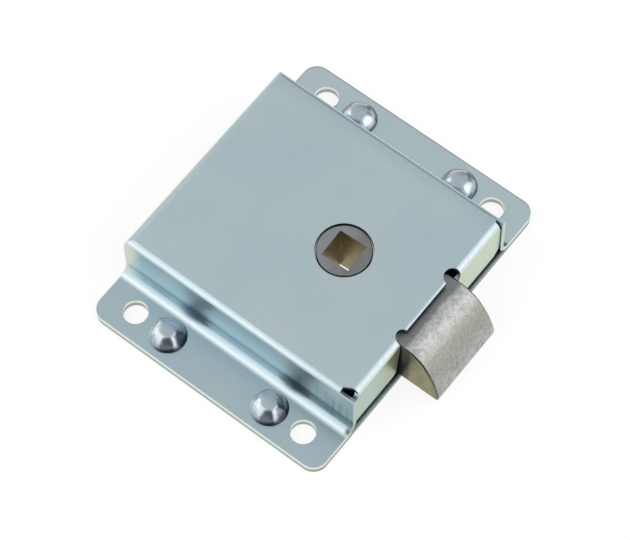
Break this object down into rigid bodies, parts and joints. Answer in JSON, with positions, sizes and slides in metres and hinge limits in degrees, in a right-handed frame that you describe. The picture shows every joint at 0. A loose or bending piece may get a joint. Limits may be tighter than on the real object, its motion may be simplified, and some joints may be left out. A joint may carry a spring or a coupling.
{
  "type": "slam lock",
  "caption": "Zinc-plated rim slam lock: flanged sheet-metal case, square socket in a turning follower, and a spring-loaded curved bolt that retracts into the case.",
  "frame": {"origin": "centre of the four fixing holes, on the underside of the base plate that lies against the door", "axes": "+X is the way the bolt comes out, +Z points from the base plate out through the top of the cover, +Y runs along the front edge"},
  "size_m": [0.0831, 0.091, 0.0193],
  "materials": {
    "zinc_sheet": "blue-white zinc plating, satin",
    "rivet_steel": "zinc plating, polished by the rivet tool",
    "cast_metal": "raw casting, fine mottled grain",
    "follower_metal": "raw grey casting",
    "bright_steel": "turned",
    "spring_steel": "drawn wire"
  },
  "bodies": {
    "case": {"base_plate": "zinc_sheet", "cover": "zinc_sheet", "flange_rivets": "rivet_steel", "follower_washer": "bright_steel", "spring_bracket": "zinc_sheet", "bracket_rivets": "rivet_steel", "guide_stud_left": "rivet_steel", "guide_stud_right": "rivet_steel", "stud_washer_left": "bright_steel", "stud_washer_right": "bright_steel", "spring_guide_pin_left": "bright_steel", "spring_guide_pin_right": "bright_steel", "bolt_spring_left": "spring_steel", "bolt_spring_right": "spring_steel"},
    "bolt": {"slam_bolt": "cast_metal"},
    "follower": {"follower": "follower_metal"}
  },
  "joints": [
    {"name": "bolt_slide", "type": "slide", "parent": "case", "child": "bolt", "axis": [1, 0, 0], "range_m": [-0.012, 0], "stiffness_N_per_m": 900, "springref_m": 0.01, "deforming": ["bolt_spring_left", "bolt_spring_right"]},
    {"name": "follower_turn", "type": "hinge", "parent": "case", "child": "follower", "pos_m": [0.0092, 0, 0.0094], "axis": [0, 0, 1], "range_deg": [0, 33.5]}
  ],
  "couplings": [
    {"joint": "follower_turn", "follows": "bolt_slide", "rad_per_m": -48.5}
  ]
}
